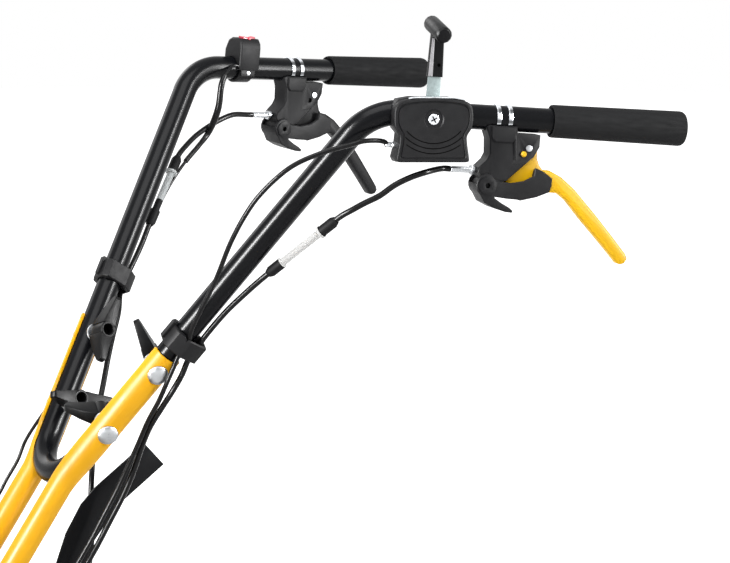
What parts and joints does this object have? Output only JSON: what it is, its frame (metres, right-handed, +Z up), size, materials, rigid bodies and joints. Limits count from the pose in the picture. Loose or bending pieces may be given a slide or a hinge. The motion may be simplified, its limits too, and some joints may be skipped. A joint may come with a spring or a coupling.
{
  "type": "walk-behind leaf blower",
  "caption": "Walk-behind leaf blower: bent tube handlebar with clutch levers, throttle and stop switch on a wheeled deck with engine and fan housing.",
  "frame": {"origin": "on the ground under the middle of the overall box", "axes": "+X forward, +Y to the operator's left, +Z up"},
  "size_m": [1.4484, 0.6036, 1.1001],
  "materials": {
    "black_tube": "gloss powder coat",
    "grip_rubber": "matt foam",
    "black_plastic": "fine grain",
    "yellow_plastic": "satin",
    "yellow_paint": "gloss",
    "zinc": "zinc plated",
    "red_plastic": "satin",
    "cable_jacket": "smooth",
    "white_sleeve": "smooth, with black boots",
    "cast_metal": "as cast",
    "machined_steel": "plain",
    "tyre_rubber": "matt",
    "belt_rubber": "matt"
  },
  "bodies": {
    "machine": {"handlebar_tube": "black_tube", "grip_left": "grip_rubber", "grip_right": "grip_rubber", "lever_bracket_left": "black_plastic", "lever_pin_left": "zinc", "cable_adjuster_left": "zinc", "lever_bracket_right": "black_plastic", "lever_pin_right": "zinc", "cable_adjuster_right": "zinc", "throttle_case_inner": "black_plastic", "throttle_case_cover": "black_plastic", "throttle_pivot_screw": "zinc", "stop_switch_case": "black_plastic", "stop_switch_strap": "black_plastic", "handle_tube_left": "yellow_paint", "handle_tube_right": "yellow_paint", "carriage_bolt_upper_left": "zinc", "carriage_bolt_lower_left": "zinc", "carriage_bolt_upper_right": "zinc", "carriage_bolt_lower_right": "zinc", "cable_tensioner_left": "white_sleeve", "cable_tensioner_right": "white_sleeve", "clutch_cable_left": "cable_jacket", "clutch_cable_right": "cable_jacket", "throttle_cable": "cable_jacket", "stop_wire": "cable_jacket", "cable_clip_left": "black_plastic", "cable_clip_right": "black_plastic", "chassis_deck": "black_tube", "gearbox": "cast_metal", "front_fork": "black_tube", "drive_belt": "belt_rubber", "engine_block": "cast_metal", "recoil_cover": "black_plastic", "fuel_tank": "black_plastic", "muffler": "machined_steel", "fan_housing": "yellow_paint"},
    "lever_left": {"clutch_lever_left": "yellow_plastic"},
    "lever_right": {"clutch_lever_right": "black_plastic"},
    "latch_left": {"lock_latch_left": "black_plastic"},
    "latch_right": {"lock_latch_right": "black_plastic"},
    "throttle": {"throttle_blade": "zinc", "throttle_knob": "black_plastic"},
    "stop_rocker": {"stop_switch_rocker": "red_plastic"},
    "knob_upper_left": {"wing_knob_upper_left": "black_plastic"},
    "knob_upper_right": {"wing_knob_upper_right": "black_plastic"},
    "knob_lower_left": {"wing_knob_lower_left": "black_plastic"},
    "knob_lower_right": {"wing_knob_lower_right": "black_plastic"},
    "deflector": {"deflector_lever": "black_tube"},
    "flap": {"outlet_flap": "black_tube"},
    "rotor": {"crankshaft": "machined_steel", "impeller": "machined_steel"},
    "input_shaft": {"input_pulley": "machined_steel"},
    "drive_wheels": {"rear_axle": "machined_steel", "wheel_rim_left": "yellow_paint", "wheel_rim_right": "yellow_paint", "tyre_left": "tyre_rubber", "tyre_right": "tyre_rubber"},
    "front_wheel": {"front_wheel_rim": "yellow_paint", "front_tyre": "tyre_rubber"}
  },
  "joints": [
    {"name": "lever_squeeze_left", "type": "hinge", "parent": "machine", "child": "lever_left", "pos_m": [-0.55803, 0.25425, 0.96871], "axis": [0.1947, 0.9795, 0.0515], "range_deg": [0, 36], "stiffness_Nm_per_rad": 0.8, "springref_deg": -17.19},
    {"name": "latch_release_left", "type": "hinge", "parent": "machine", "child": "latch_left", "pos_m": [-0.51433, 0.24739, 0.93401], "axis": [-0.1947, -0.9795, -0.0515], "range_deg": [0, 18], "stiffness_Nm_per_rad": 0.1, "springref_deg": -20.05},
    {"name": "lever_squeeze_right", "type": "hinge", "parent": "machine", "child": "lever_right", "pos_m": [-0.55803, -0.25425, 0.96871], "axis": [-0.1947, 0.9795, -0.0515], "range_deg": [0, 36], "stiffness_Nm_per_rad": 0.8, "springref_deg": -17.19},
    {"name": "latch_release_right", "type": "hinge", "parent": "machine", "child": "latch_right", "pos_m": [-0.51433, -0.24739, 0.93401], "axis": [0.1947, -0.9795, 0.0515], "range_deg": [0, 18], "stiffness_Nm_per_rad": 0.1, "springref_deg": -20.05},
    {"name": "throttle_turn", "type": "hinge", "parent": "machine", "child": "throttle", "pos_m": [-0.45899, 0.23284, 1.00135], "axis": [0.1947, 0.9795, 0.0515], "range_deg": [-28, 28]},
    {"name": "stop_tilt", "type": "hinge", "parent": "machine", "child": "stop_rocker", "pos_m": [-0.46845, -0.23278, 1.03833], "axis": [-0.1947, 0.9795, -0.0515], "range_deg": [-8, 8]},
    {"name": "knob_turn_upper_left", "type": "hinge", "parent": "machine", "child": "knob_upper_left", "pos_m": [-0.22938, 0.08196, 0.75058], "axis": [0.208, 0.9278, -0.3096], "continuous": true},
    {"name": "knob_turn_upper_right", "type": "hinge", "parent": "machine", "child": "knob_upper_right", "pos_m": [-0.22938, -0.08196, 0.75058], "axis": [0.208, -0.9278, -0.3096], "continuous": true},
    {"name": "knob_turn_lower_left", "type": "hinge", "parent": "machine", "child": "knob_lower_left", "pos_m": [-0.18694, 0.05138, 0.68743], "axis": [0.208, 0.9278, -0.3096], "continuous": true},
    {"name": "knob_turn_lower_right", "type": "hinge", "parent": "machine", "child": "knob_lower_right", "pos_m": [-0.18694, -0.05138, 0.68743], "axis": [0.208, -0.9278, -0.3096], "continuous": true},
    {"name": "deflector_swing", "type": "hinge", "parent": "machine", "child": "deflector", "pos_m": [-0.0357, 0, 0.29197], "axis": [0, 1, 0], "range_deg": [-15, 4]},
    {"name": "flap_swing", "type": "hinge", "parent": "machine", "child": "flap", "pos_m": [0.4463, 0.259, 0.249], "axis": [1, 0, 0], "range_deg": [-8, 30]},
    {"name": "rotor_spin", "type": "hinge", "parent": "machine", "child": "rotor", "pos_m": [0.4463, 0, 0.356], "axis": [1, 0, 0], "continuous": true},
    {"name": "input_spin", "type": "hinge", "parent": "machine", "child": "input_shaft", "pos_m": [0.2963, 0, 0.2], "axis": [1, 0, 0], "continuous": true},
    {"name": "drive_wheels_spin", "type": "hinge", "parent": "machine", "child": "drive_wheels", "pos_m": [-0.0137, 0, 0.16359], "axis": [0, 1, 0], "continuous": true},
    {"name": "front_wheel_spin", "type": "hinge", "parent": "machine", "child": "front_wheel", "pos_m": [0.6263, 0, 0.09877], "axis": [0, 1, 0], "continuous": true}
  ],
  "couplings": [
    {"joint": "flap_swing", "follows": "deflector_swing", "ratio": -2},
    {"joint": "input_spin", "follows": "rotor_spin", "ratio": 0.773}
  ]
}
